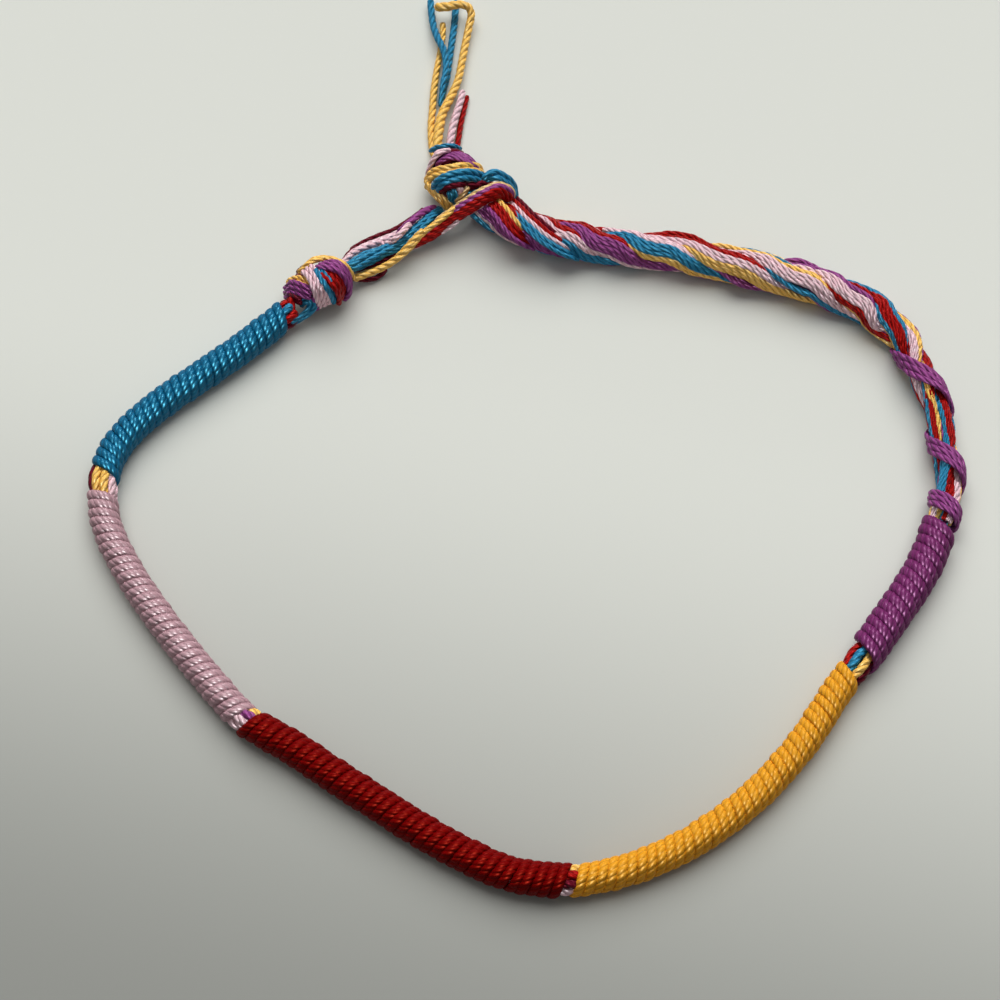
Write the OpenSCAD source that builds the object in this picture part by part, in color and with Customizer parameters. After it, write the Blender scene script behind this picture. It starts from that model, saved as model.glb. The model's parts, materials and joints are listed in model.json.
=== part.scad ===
// Friendship bracelet of five thread colours, lying flat on a surface.
// The cord starts at a knot, runs through five wound wraps, opens into a
// three-strand rope and closes at a tie, whose ends stand out as a short tail.
// Millimetres, +Z up, origin under the middle of the whole bracelet.

/* [Wraps] */
// Length of the teal wrap along the cord
teal_len = 20.2; // [12:0.2:22]
// Outside diameter of the teal wrap
teal_d = 2.6; // [2.2:0.1:3.2]
// Bare cord between the teal and the pink wrap
teal_gap = 2; // [1:0.1:4]
// Length of the pink wrap along the cord
pink_len = 22.4; // [15:0.2:24]
// Outside diameter of the pink wrap
pink_d = 2.5; // [2.2:0.1:3.2]
// Bare cord between the pink and the red wrap
pink_gap = 1; // [1:0.1:4]
// Length of the red wrap along the cord
red_len = 27.2; // [18:0.2:28]
// Outside diameter of the red wrap
red_d = 2.7; // [2.2:0.1:3.4]
// Bare cord between the red and the yellow wrap
red_gap = 0.8; // [0.8:0.1:4]
// Length of the yellow wrap along the cord
yellow_len = 27.6; // [20:0.2:29]
// Outside diameter of the yellow wrap
yellow_d = 2.5; // [2.2:0.1:3.4]
// Bare cord between the yellow and the purple wrap
yellow_gap = 2.1; // [1:0.1:4]
// Length of the purple wrap along the cord
purple_len = 12.6; // [8:0.2:15]
// Outside diameter of the purple wrap
purple_d = 3; // [2.4:0.1:3.6]

/* [Core and rope] */
// Diameter of the bundle of threads inside the wraps
core_d = 1.5; // [1.1:0.1:1.7]
// Clearance between the core and a wrap's bore
core_clear = 0.1; // [0.05:0.05:0.2]
// Diameter over the three strands of the rope
rope_d = 3; // [2.3:0.1:3.3]
// Clearance between neighbouring strands
strand_gap = 0.16; // [0.06:0.02:0.2]
// Thickness of the open purple turns
band_t = 0.35; // [0.3:0.05:0.8]
// Width of the open purple turns
band_w = 1.35; // [0.9:0.05:1.8]

/* [Tie and tail] */
// Diameter of one loose thread
thread_d = 0.64; // [0.4:0.02:0.8]
// Diameter of the teal strand between the two knots
short_teal_d = 1.2; // [0.7:0.05:1.3]
// Diameter of the strand that arches over the rope
arch_d = 1.5; // [1:0.05:1.6]
// Width of the knot where the short cord starts
end_knot_w = 5.6; // [5:0.1:5.8]
// Width of the knot that closes the bracelet
tie_knot_w = 5; // [4.4:0.1:5.2]

/* [Hidden] */

// Route of the cord round the loop, from the end knot to the tie, seen from above
ROUTE = [[-19.1, 9.2], [-22.8, 5.8], [-26, 3.2], [-29.3, 0.6], [-32.1, -2.3], [-33.4, -5],
    [-33.6, -7.6], [-33, -10.6], [-31.1, -14.3], [-28.7, -17.9], [-26.2, -21.2], [-23.7, -24.2],
    [-21.3, -26.7], [-17.6, -29], [-14.4, -31.2], [-11.2, -33.3], [-8, -35.4], [-4.7, -37.3],
    [-1.3, -38.8], [2.3, -39.3], [4.8, -39.1], [8.3, -38.2], [12.7, -36.1], [17.2, -32.7],
    [21.1, -28.4], [23.8, -24.4], [26.4, -21], [28.6, -17.9], [30.9, -14.5], [32.5, -11.1],
    [33.4, -8.2], [33.7, -5.4], [33.6, -2.6], [33, 0.4], [32.2, 3.2], [31.2, 6], [29.5, 8.1],
    [27.4, 9.8], [23.8, 11.4], [19.8, 12.7], [15.8, 13.7], [11.7, 14.5], [7.6, 15],
    [3.6, 15.8], [1.2, 16.4], [-0.8, 17.3], [-2.6, 18.3], [-3.8, 19.4]];

// Places of the five wraps along the route
teal_start = 1;
pink_start = teal_start + teal_len + teal_gap;
red_start = pink_start + pink_len + pink_gap;
yellow_start = red_start + red_len + red_gap;
purple_start = yellow_start + yellow_len + yellow_gap;
purple_end = purple_start + purple_len;

// Places of the purple turn that runs on over the bare strands: distance past
// the purple wrap, and turns made since it lay on top for the first time
OPEN_TURNS = [[1, -0.25], [1.7, 0], [3.3, 0.5], [5.9, 1], [9.4, 1.5], [13.2, 2], [15.9, 2.25],
    [17, 2.4]];
// Lay of the rope: distance past the purple wrap, and turns made
LAY = [[0, -0.35], [5.6, -0.1], [12.1, 0.2], [15.4, 0.55], [18.4, 0.86], [22.6, 1.18], [27.5, 1.52],
    [33.6, 1.85], [39.5, 2.18], [44, 2.52], [47.7, 2.86], [50.8, 3.19], [55.1, 3.58]];
// Distances past the purple wrap where the bare strands begin, where the open
// turns end and where the rope has its full size
BARE_FROM = 0.3;
OPEN_TO = 17;
FULL_FROM = 20.5;
// Distance over which the rope narrows into the tie
NARROW_LEN = 5;
// Strand diameter: distance past the purple wrap, and share of the full size
THINNING = [[15, 0.68], [FULL_FROM, 1]];
// Strand diameter: distance left to the tie, and share of the full size
TIGHTENING = [[0, 0.78], [NARROW_LEN, 1]];

// A loose strand's points are [x, y, z, share of its diameter]
SHORT_TEAL = [[-14.3, 13, 1.8, 0.8], [-13, 13.8, 1.7, 1], [-11.6, 14.6, 1.6, 1],
    [-10.2, 15.4, 1.5, 1], [-8.9, 16.7, 1.4, 1], [-7.6, 18.1, 1.3, 0.9], [-6.9, 18.9, 1.1, 0.8]];
SHORT_ARCH = [[-14.4, 12.9, 0.5, 0.5], [-12.6, 13.7, 0.5, 0.5], [-10.9, 14.3, 0.5, 0.55],
    [-9.3, 15, 0.6, 0.66], [-7.9, 15.9, 1.1, 0.84], [-6.6, 16.9, 1.9, 0.94], [-5.5, 17.8, 2.7, 1],
    [-4.5, 18.6, 3.3, 1], [-3.5, 19.1, 3.5, 1], [-2.7, 19.5, 3.3, 1], [-2, 19.8, 2.6, 0.96],
    [-1.7, 20, 1.7, 0.8], [-1.6, 20.1, 0.8, 0.65]];
SHORT_YELLOW = [[-14.2, 12.1, 1.2, 1], [-13.1, 12.6, 1.2, 1], [-12, 13.1, 1.2, 1],
    [-10.8, 13.7, 1.5, 1], [-9.9, 14.4, 2, 1], [-9.1, 15.2, 2.4, 1], [-8.3, 16, 2.7, 0.9]];
SHORT_PINK = [[-14.5, 14.3, 1.5, 0.9], [-13.2, 15.2, 1.4, 0.9], [-11.8, 16, 1.1, 0.9],
    [-10.5, 16.7, 0.9, 1], [-9.4, 17.6, 0.8, 1], [-8.4, 18.4, 0.7, 1], [-7.9, 18.9, 0.6, 0.9]];
SHORT_MAROON = [[-14.5, 15.1, 0.9, 0.6], [-13.4, 16, 0.7, 0.6], [-12.1, 16.8, 0.5, 0.6],
    [-10.9, 17.4, 0.4, 0.6], [-9.7, 18.3, 0.35, 0.6], [-8.9, 19, 0.3, 0.6], [-8.4, 19.5, 0.3, 0.6]];
TAIL_YELLOW_RIGHT = [[-7.3, 25, 0.9, 1.3], [-7.2, 27.1, 0.8, 1.4], [-6.9, 28.7, 0.8, 1.3],
    [-6.2, 30.4, 0.8, 1.2], [-5.6, 32.2, 0.7, 1.1], [-5.3, 34.1, 0.6, 1.1], [-5, 36, 0.6, 1.1],
    [-4.7, 37.6, 0.8, 1.1], [-4.5, 38.7, 1.1, 1.1], [-4.8, 39.3, 1.4, 1.1], [-5.6, 39.4, 1.6, 1.2],
    [-6.5, 39.2, 1.6, 1.3], [-7.3, 39.3, 1.4, 1.3], [-7.6, 39.5, 1.2, 1.1]];
TAIL_YELLOW_LEFT = [[-7.9, 25.1, 0.35, 1], [-7.9, 27.3, 0.35, 1], [-7.8, 29.3, 0.35, 1],
    [-7.7, 31.3, 0.35, 1], [-7.5, 33.2, 0.35, 0.9], [-7.2, 35.2, 0.3, 0.9], [-7, 37, 0.4, 0.9],
    [-7, 38.3, 0.5, 0.9]];
TAIL_TEAL_LEFT = [[-8.1, 40.7, 0.6, 1], [-8, 39.4, 0.6, 1], [-7.8, 37.8, 0.7, 1],
    [-7.4, 36.3, 1, 1], [-6.9, 35, 1.2, 1], [-6.7, 33.8, 1.2, 0.9], [-6.7, 32.6, 1.2, 0.9],
    [-6.9, 31.5, 1.2, 0.8]];
TAIL_TEAL_RIGHT = [[-5.9, 40.7, 0.4, 1], [-5.9, 39.6, 0.4, 1], [-6, 38, 0.4, 1],
    [-6.2, 36.2, 0.4, 1], [-6.4, 34.3, 0.4, 1], [-6.6, 32.6, 0.4, 1], [-6.9, 31.2, 0.4, 1]];
TAIL_PINK = [[-5.2, 31.2, 0.5, 0.9], [-5.4, 30, 0.7, 1], [-5.8, 28.4, 0.8, 1.1],
    [-6.1, 26.9, 0.8, 1.1], [-6.3, 25.1, 0.9, 1]];
TAIL_RED = [[-4.8, 30.9, 0.25, 0.6], [-5, 29.8, 0.25, 0.7], [-5.3, 28.3, 0.25, 0.8],
    [-5.5, 26.8, 0.25, 0.8], [-5.7, 25.1, 0.3, 0.8]];

// Turns of the knots: [x, y, z, share of the thread's diameter] from the knot's place
END_KNOT_AT = [-17, 11];
END_KNOT_DRAWN_W = 5.6;
END_KNOT_TURNS = [
    [[-1.2, 1.2, 3, 1], [-0.4, 1.3, 3.6, 1], [0.6, 1.5, 3.7, 1], [1.6, 1.5, 3.3, 1], [2.2, 1.2, 2.6, 1],
        [2.4, 0.7, 1.6, 1], [2.3, 0.3, 0.7, 1]],
    [[0.1, 0.4, 3.9, 1.2], [1, 0.6, 3.9, 1.2], [1.8, 0.3, 3.4, 1.2], [2.2, -0.2, 2.4, 1.2],
        [2, -0.5, 1.2, 1.2]],
    [[0.2, -0.1, 4, 1.1], [1.1, -0.4, 4, 1.1], [1.6, -0.8, 3.2, 1.1], [1.7, -0.9, 2, 1.1],
        [1.4, -0.8, 0.9, 1.1]],
    [[0.2, 0.2, 4, 1], [0.5, -0.7, 4, 1], [0.8, -1.3, 3.4, 1], [1, -1.6, 2.4, 1], [1, -1.3, 1, 1]],
    [[-0.4, 0.8, 3.7, 1.1], [-0.4, -0.3, 4.2, 1.1], [0, -1.1, 4, 1.1], [0.2, -1.7, 3.2, 1.1],
        [0.3, -1.8, 2, 1.1], [0.4, -1.4, 0.8, 1.1]],
    [[-1.2, 1.7, 2.4, 1], [-1.5, 0.9, 2.9, 1], [-1.8, 0.5, 2.5, 1]],
    [[-2.3, 0.5, 1.4, 1], [-2, 0.2, 2.5, 1], [-1.3, -0.2, 3.3, 1.1], [-0.7, -0.9, 3.6, 1.1]],
    [[-2.4, -0.2, 1.2, 1], [-2.1, -0.5, 2.3, 1.1], [-1.4, -1.2, 3, 1.2], [-0.7, -1.7, 3.2, 1.1]],
    [[-2.2, -0.7, 1, 1], [-1.8, -1.2, 2.1, 1], [-1.2, -1.7, 2.5, 1], [-0.4, -1.9, 2.4, 1]],
    [[-1.5, -1.3, 0.8, 1], [-1.2, -1.5, 1.6, 1], [-0.6, -1.6, 1.7, 1], [-0.4, -1.8, 1, 1]]];
END_KNOT_FILL = [[-0.9, -0.2, 1.65, 3.3], [0.6, 0, 1.9, 3.6]];

TIE_KNOT_AT = [-6, 21.5];
TIE_KNOT_DRAWN_W = 5;
TIE_KNOT_TURNS = [
    [[-1.7, 2.6, 0.9, 1], [-1.4, 2.5, 2, 1], [-0.7, 2.4, 2.5, 1], [0.1, 2.6, 2.2, 1], [0.6, 2.9, 1.1, 1]],
    [[-1.9, 1.6, 1.2, 1], [-1.7, 1.4, 2.5, 1.1], [-1.2, 1.3, 3.2, 1.1], [-0.4, 1.2, 3.5, 1.1]],
    [[-1.9, 0.8, 1.3, 1], [-1.6, 0.6, 2.8, 1.1], [-1.1, 0.5, 3.6, 1.1], [-0.4, 0.5, 3.9, 1.1]],
    [[-0.8, 1.3, 3.2, 1.3], [0.1, 1.4, 3.4, 1.3], [0.9, 1.5, 3, 1.3], [1.5, 1.5, 2.1, 1.3],
        [1.8, 1.5, 1, 1.2]],
    [[-1.2, 0.1, 3.3, 1.2], [-0.5, 0.3, 3.9, 1.3], [0.3, 0.4, 4.1, 1.3], [1.1, 0.6, 3.5, 1.3],
        [1.7, 0.8, 2.3, 1.2]],
    [[-1.9, -0.2, 0.9, 1], [-1.8, -0.2, 2.5, 1], [-1.2, -0.3, 3.6, 1], [-0.2, -0.5, 4.2, 1],
        [0.8, -0.5, 4.1, 1], [1.6, 0, 3.3, 1], [2.1, 0.5, 1.9, 1], [2.2, 0.5, 0.8, 1]],
    [[-1.5, -0.8, 1.3, 1.1], [-1.2, -1, 2.6, 1.2], [-0.5, -1.1, 3.6, 1.3], [0.6, -1, 4, 1.3],
        [1.5, -0.7, 3.3, 1.2], [2.1, -0.3, 1.9, 1]],
    [[-1.2, -1, 1.5, 1], [-0.7, -1.2, 2.7, 1], [0, -1.3, 3.3, 1], [0.9, -1.1, 3.3, 1], [1.6, -0.8, 2.3, 1]],
    [[-1.8, -0.1, 1.5, 1], [-1.4, -0.9, 1.6, 1], [-1, -1.4, 1.4, 1], [-0.6, -1.8, 0.9, 0.9]],
    [[2.1, -0.3, 1.8, 1], [3, -0.1, 2, 1], [3.9, -0.2, 2, 1], [4.9, -0.6, 1.8, 1], [5.5, -1.3, 1.2, 1],
        [5.6, -1.9, 0.6, 1]],
    [[0.9, -1.1, 1.2, 1], [1, -2, 0.8, 1], [0.9, -2.6, 0.5, 1]]];
TIE_KNOT_FILL = [[0, 1.1, 1.6, 3], [0, -0.1, 1.9, 3.4]];

// Spacing of the rings along a wrap, its end rounding and the sides of each tube
RING_STEP = 2.2;
ROUND_LEN = 0.35;
ROUND_SHARE = 0.84;
WRAP_SIDES = 12;
CORE_SIDES = 8;
STRAND_SIDES = 8;
STRAND_STEP = 1;
BALL_SIDES = 7;
OPEN_STEPS = 6;

function unit(v) = v / norm(v);
function last(v) = v[len(v) - 1];

// Smooth curve through a list of points, with the given steps between two of them
function curve_at(a, b, c, d, t) =
    0.5 * (2 * b + (c - a) * t + (2 * a - 5 * b + 4 * c - d) * t * t + (3 * b - a - 3 * c + d) * t * t * t);
function smooth(p, steps) = [
    for (i = [0 : len(p) - 2]) for (k = [0 : steps - 1])
        curve_at(p[max(i - 1, 0)], p[i], p[i + 1], p[min(i + 2, len(p) - 1)], k / steps),
    last(p)];

// Distance along a list of points, for each of them
function distances(p) = [
    for (i = 0, s = 0; i < len(p); s = s + (i + 1 < len(p) ? norm(p[i + 1] - p[i]) : 0), i = i + 1) s];

route = smooth(ROUTE, 4);
route_s = distances(route);
route_x = [for (i = [0 : len(route) - 1]) [route_s[i], route[i].x]];
route_y = [for (i = [0 : len(route) - 1]) [route_s[i], route[i].y]];
route_len = last(route_s);

// Strand size and place in the rope, from the diameter over three strands
strand_d = (rope_d / 2 - strand_gap / sqrt(3)) / (1 / sqrt(3) + 0.5);
function strand_share(s) = lookup(s - purple_end, THINNING) * lookup(route_len - s, TIGHTENING);
function strand_r(s) = strand_d * strand_share(s) / 2;
function lay_r(s) = (2 * strand_r(s) + strand_gap) / sqrt(3);
function rope_r(s) = lay_r(s) + strand_r(s);
function band_r(s) = rope_r(s) + strand_gap + band_t / 2;

// Height of the route: each stretch lies on the surface with its own radius
HEIGHTS = [[teal_start + teal_len, teal_d / 2], [pink_start, pink_d / 2], [red_start - pink_gap, pink_d / 2],
    [red_start, red_d / 2], [yellow_start - red_gap, red_d / 2], [yellow_start, yellow_d / 2],
    [purple_start - yellow_gap, yellow_d / 2], [purple_start, purple_d / 2], [purple_end, purple_d / 2]];
function height_at(s) = s <= purple_end ? lookup(s, HEIGHTS)
    : lookup(s - purple_end, [[0, purple_d / 2], [BARE_FROM, open_h], [OPEN_TO, open_h],
        [FULL_FROM, rope_d / 2], [route_len - purple_end - NARROW_LEN, rope_d / 2],
        [route_len - purple_end, rope_r(route_len)]]);
open_h = band_r(purple_end) + band_t / 2;

function place(s) = [lookup(s, route_x), lookup(s, route_y), height_at(s)];
function heading(s) = unit([lookup(s + 0.3, route_x) - lookup(s - 0.3, route_x),
    lookup(s + 0.3, route_y) - lookup(s - 0.3, route_y), 0]);
function left_of(s) = [-heading(s).y, heading(s).x, 0];
function around(s, angle) = cos(angle) * left_of(s) + [0, 0, sin(angle)];
lay = smooth(LAY, 4);
function lay_angle(s) = 360 * lookup(s - purple_end, lay);

// Rings of a round tube along the points, each turned square to the run
function run_of(p, i) = unit(p[min(i + 1, len(p) - 1)] - p[max(i - 1, 0)]);
function across(run) = unit(cross(run, abs(run.z) > 0.9 ? [1, 0, 0] : [0, 0, 1]));
function ring(centre, run, r, sides) = [for (j = [0 : sides - 1]) let (a = 360 * (j + 0.5) / sides)
    centre + r * (cos(a) * across(run) + sin(a) * cross(across(run), run))];
function band_faces(rings, sides) = [for (i = [0 : rings - 2], j = [0 : sides - 1])
    [i * sides + j, i * sides + (j + 1) % sides, (i + 1) * sides + (j + 1) % sides, (i + 1) * sides + j]];
function first_cap(sides) = [for (j = [sides - 1 : -1 : 0]) j];
function last_cap(rings, sides) = [for (j = [0 : sides - 1]) (rings - 1) * sides + j];

// Closed tube through rings of points
module tube(rings) {
    sides = len(rings[0]);
    polyhedron([for (r = rings) each r],
        concat([first_cap(sides)], band_faces(len(rings), sides), [last_cap(len(rings), sides)]),
        convexity = 8);
}

// Tube along points [x, y, z, share], with the diameter d times the share
module loose_strand(points, d) {
    p = smooth(points, 2);
    xyz = [for (q = p) [q[0], q[1], q[2]]];
    tube([for (i = [0 : len(p) - 1]) ring(xyz[i], run_of(xyz, i), d * p[i][3] / 2, STRAND_SIDES)]);
}

// Places along a stretch, about RING_STEP apart
function stations(from, to, step) = let (n = ceil((to - from) / step))
    [for (i = [0 : n]) from + (to - from) * i / n];

// Hollow sleeve of wound thread round the core
module wrap(from, length, d) {
    to = from + length;
    mid = stations(from + ROUND_LEN, to - ROUND_LEN, RING_STEP);
    s = concat([from], mid, [to]);
    n = len(s);
    outer = [for (i = [0 : n - 1]) upright_ring(s[i], (i == 0 || i == n - 1 ? ROUND_SHARE : 1) * d / 2)];
    bore = [for (i = [0 : n - 1]) upright_ring(s[i], core_d / 2 + core_clear)];
    polyhedron(concat([for (r = outer) each r], [for (r = bore) each r]), sleeve_faces(n, WRAP_SIDES),
        convexity = 8);
}

function upright_ring(s, r) = [for (j = [0 : WRAP_SIDES - 1]) let (a = -90 + 360 * j / WRAP_SIDES)
    place(s) + r * around(s, a)];
function sleeve_faces(n, sides) = let (m = n * sides) concat(
    [for (i = [0 : n - 2], j = [0 : sides - 1]) let (k = (j + 1) % sides)
        [i * sides + j, (i + 1) * sides + j, (i + 1) * sides + k, i * sides + k]],
    [for (i = [0 : n - 2], j = [0 : sides - 1]) let (k = (j + 1) % sides)
        [m + i * sides + j, m + i * sides + k, m + (i + 1) * sides + k, m + (i + 1) * sides + j]],
    [for (j = [0 : sides - 1]) let (k = (j + 1) % sides) [j, k, m + k, m + j]],
    [for (j = [0 : sides - 1]) let (k = (j + 1) % sides, e = (n - 1) * sides)
        [e + k, e + j, m + e + j, m + e + k]]);

// One of the three strands laid into the rope
module rope_strand(phase) {
    s = stations(purple_end + BARE_FROM, route_len, STRAND_STEP);
    p = [for (x = s) place(x) + lay_r(x) * around(x, lay_angle(x) - phase)];
    tube([for (i = [0 : len(s) - 1]) ring(p[i], run_of(p, i), strand_r(s[i]), STRAND_SIDES)]);
}

// Flat purple band that winds the other way over the bare strands
module open_turns_band() {
    path = smooth(OPEN_TURNS, OPEN_STEPS);
    s = [for (q = path) purple_end + q[0]];
    angle = [for (q = path) 90 - 360 * q[1]];
    out = [for (i = [0 : len(s) - 1]) around(s[i], angle[i])];
    p = [for (i = [0 : len(s) - 1]) place(s[i]) + band_r(s[i]) * out[i]];
    tube([for (i = [0 : len(s) - 1]) let (run = run_of(p, i), side = unit(cross(run, out[i])))
        [for (j = [0 : STRAND_SIDES - 1]) let (a = 360 * j / STRAND_SIDES)
            p[i] + band_w / 2 * cos(a) * side + band_t / 2 * sin(a) * cross(side, run)]]);
}

// Turns of thread and the mass that they close on, as one body
module knot(turns, fill, at, scale_by) {
    translate([at.x, at.y, 0]) {
        for (turn = turns)
            for (i = [0 : len(turn) - 2])
                hull() {
                    knot_ball(turn[i], thread_d, scale_by);
                    knot_ball(turn[i + 1], thread_d, scale_by);
                }
        hull()
            for (f = fill)
                translate([f[0], f[1], f[2]] * scale_by) sphere(d = f[3] * scale_by, $fn = 2 * BALL_SIDES);
    }
}

module knot_ball(q, d, scale_by) {
    translate([q[0], q[1], q[2]] * scale_by) sphere(d = d * q[3] * scale_by, $fn = BALL_SIDES);
}

module end_knot() {
    color("mediumvioletred")
        knot(END_KNOT_TURNS, END_KNOT_FILL, END_KNOT_AT, end_knot_w / END_KNOT_DRAWN_W);
}

module tie_knot() {
    color("goldenrod")
        knot(TIE_KNOT_TURNS, TIE_KNOT_FILL, TIE_KNOT_AT, tie_knot_w / TIE_KNOT_DRAWN_W);
}

module core() {
    s = stations(0, purple_end, RING_STEP);
    p = [for (x = s) place(x)];
    color("sandybrown")
        tube([for (i = [0 : len(s) - 1]) ring(p[i], run_of(p, i), core_d / 2, CORE_SIDES)]);
}

module wrap_teal() { color("darkcyan") wrap(teal_start, teal_len, teal_d); }
module wrap_pink() { color("pink") wrap(pink_start, pink_len, pink_d); }
module wrap_red() { color("firebrick") wrap(red_start, red_len, red_d); }
module wrap_yellow() { color("orange") wrap(yellow_start, yellow_len, yellow_d); }
module wrap_purple() { color("purple") wrap(purple_start, purple_len, purple_d); }
module open_turns() { color("purple") open_turns_band(); }
module rope_strand_a() { color("darkcyan") rope_strand(0); }
module rope_strand_b() { color("orange") rope_strand(120); }
module rope_strand_c() { color("pink") rope_strand(240); }
module short_teal() { color("darkcyan") loose_strand(SHORT_TEAL, short_teal_d); }
module short_arch() { color("firebrick") loose_strand(SHORT_ARCH, arch_d); }
module short_yellow() { color("orange") loose_strand(SHORT_YELLOW, thread_d); }
module short_pink() { color("pink") loose_strand(SHORT_PINK, thread_d); }
module short_maroon() { color("maroon") loose_strand(SHORT_MAROON, thread_d); }
module tail_yellow_right() { color("orange") loose_strand(TAIL_YELLOW_RIGHT, thread_d); }
module tail_yellow_left() { color("orange") loose_strand(TAIL_YELLOW_LEFT, thread_d); }
module tail_teal_left() { color("darkcyan") loose_strand(TAIL_TEAL_LEFT, thread_d); }
module tail_teal_right() { color("darkcyan") loose_strand(TAIL_TEAL_RIGHT, thread_d); }
module tail_pink() { color("pink") loose_strand(TAIL_PINK, thread_d); }
module tail_red() { color("firebrick") loose_strand(TAIL_RED, thread_d); }

end_knot();
core();
wrap_teal();
wrap_pink();
wrap_red();
wrap_yellow();
wrap_purple();
open_turns();
rope_strand_a();
rope_strand_b();
rope_strand_c();
tie_knot();
short_teal();
short_arch();
short_yellow();
short_pink();
short_maroon();
tail_yellow_right();
tail_yellow_left();
tail_teal_left();
tail_teal_right();
tail_pink();
tail_red();
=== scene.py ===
"""Looks of a friendship bracelet of dyed cotton thread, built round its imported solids.

Routes are millimetres in the solids' own frame, and become metres where a mesh is made.
"""

import json
import math

import bmesh
import bpy
import numpy as np
from bpy.props import FloatProperty, FloatVectorProperty, PointerProperty
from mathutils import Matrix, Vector

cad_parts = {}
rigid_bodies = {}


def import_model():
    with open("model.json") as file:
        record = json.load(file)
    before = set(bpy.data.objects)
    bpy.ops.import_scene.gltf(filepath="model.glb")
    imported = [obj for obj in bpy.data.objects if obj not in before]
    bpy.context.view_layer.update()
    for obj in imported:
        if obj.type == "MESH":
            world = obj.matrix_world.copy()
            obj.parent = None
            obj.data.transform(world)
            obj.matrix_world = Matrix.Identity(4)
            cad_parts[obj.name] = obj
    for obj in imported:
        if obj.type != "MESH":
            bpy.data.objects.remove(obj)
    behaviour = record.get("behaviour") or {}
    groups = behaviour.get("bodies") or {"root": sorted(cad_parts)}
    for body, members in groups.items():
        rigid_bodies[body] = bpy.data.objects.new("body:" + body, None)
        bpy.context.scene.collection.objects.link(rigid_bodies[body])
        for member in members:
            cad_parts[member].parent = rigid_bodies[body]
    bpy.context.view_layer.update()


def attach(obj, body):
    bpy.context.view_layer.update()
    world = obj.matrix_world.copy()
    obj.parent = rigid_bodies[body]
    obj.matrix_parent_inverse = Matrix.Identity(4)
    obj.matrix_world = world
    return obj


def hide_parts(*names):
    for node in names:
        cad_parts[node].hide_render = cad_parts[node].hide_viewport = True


bl_info = {
    "name": "Friendship Bracelet",
    "version": (1, 0, 0),
    "blender": (4, 5, 0),
    "location": "3D View > Sidebar > Bracelet",
    "description": "Makes a bracelet of wound, laid and knotted cotton thread",
    "category": "Object",
}

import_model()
MM = 0.001
UP = np.array([0, 0, 1.0])

# Sizes and routes, as in the solids

ROUTE = [(-19.1, 9.2), (-22.8, 5.8), (-26, 3.2), (-29.3, 0.6), (-32.1, -2.3), (-33.4, -5),
         (-33.6, -7.6), (-33, -10.6), (-31.1, -14.3), (-28.7, -17.9), (-26.2, -21.2),
         (-23.7, -24.2), (-21.3, -26.7), (-17.6, -29), (-14.4, -31.2), (-11.2, -33.3),
         (-8, -35.4), (-4.7, -37.3), (-1.3, -38.8), (2.3, -39.3), (4.8, -39.1), (8.3, -38.2),
         (12.7, -36.1), (17.2, -32.7), (21.1, -28.4), (23.8, -24.4), (26.4, -21), (28.6, -17.9),
         (30.9, -14.5), (32.5, -11.1), (33.4, -8.2), (33.7, -5.4), (33.6, -2.6), (33, 0.4),
         (32.2, 3.2), (31.2, 6), (29.5, 8.1), (27.4, 9.8), (23.8, 11.4), (19.8, 12.7),
         (15.8, 13.7), (11.7, 14.5), (7.6, 15), (3.6, 15.8), (1.2, 16.4), (-0.8, 17.3),
         (-2.6, 18.3), (-3.8, 19.4)]
# Steps of the fine route from one of its points to the next
ROUTE_STEPS = 4
# Each wrap's length, outside diameter and the bare cord after it
WRAPS = {"teal": (20.2, 2.6, 2.0), "pink": (22.4, 2.5, 1.0), "red": (27.2, 2.7, 0.8),
         "yellow": (27.6, 2.5, 2.1), "purple": (12.6, 3.0, 0.0)}
TEAL_START = 1.0
ROPE_D = 3.0
STRAND_GAP = 0.16
BAND_T = 0.35
BAND_W = 1.35
SHORT_TEAL_D = 1.2
ARCH_D = 1.5
# Turns so far at distances past the purple wrap: of the open threads, which come from under the
# cord, and of the rope's strands
OPEN_TURNS = [(0.6, -0.5), (1, -0.25), (1.7, 0), (3.3, 0.5), (5.9, 1), (9.4, 1.5), (13.2, 2),
              (15.9, 2.25), (17, 2.4)]
LAY = [(0, -0.35), (5.6, -0.1), (12.1, 0.2), (15.4, 0.55), (18.4, 0.86), (22.6, 1.18),
       (27.5, 1.52), (33.6, 1.85), (39.5, 2.18), (44, 2.52), (47.7, 2.86), (50.8, 3.19),
       (55.1, 3.58)]
# Distances past the purple wrap where the strands come out, the open turns end and the rope is
# full, and the length before the tie knot in which it narrows
BARE_FROM, OPEN_TO, FULL_FROM, NARROW_LEN = 0.3, 17.0, 20.5, 5.0
# Share of the full rope's size past the purple wrap and before the tie knot
THINNING = [(15, 0.68), (FULL_FROM, 1)]
TIGHTENING = [(0, 0.78), (NARROW_LEN, 1)]

CAMERA_TARGET = (-2.0, -7.5, 0.0)
CAMERA_DISTANCE = 205.0
CAMERA_ELEVATION = math.radians(65)
PICTURE_WIDTH = 80.0
SENSOR = 36.0
TO_CAMERA = np.array([0, -math.cos(CAMERA_ELEVATION), math.sin(CAMERA_ELEVATION)])


# Curves

def spline(points, t):
    """Smooth curve through the points; t counts them from 0."""
    p = np.asarray(points, float)
    t = np.clip(t, 0, len(p) - 1)
    i = np.minimum(np.floor(t).astype(int), len(p) - 2)
    f = (t - i)[:, None]
    a, b, c, d = p[np.maximum(i - 1, 0)], p[i], p[i + 1], p[np.minimum(i + 2, len(p) - 1)]
    return 0.5 * (2 * b + (c - a) * f + (2 * a - 5 * b + 4 * c - d) * f**2
                  + (3 * b - a - 3 * c + d) * f**3)


def distances(points):
    """Distance along the points from the first to each."""
    return np.concatenate([[0], np.cumsum(np.linalg.norm(np.diff(points, axis=0), axis=1))])


def unit(v):
    return v / np.linalg.norm(v, axis=-1, keepdims=True)


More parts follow.
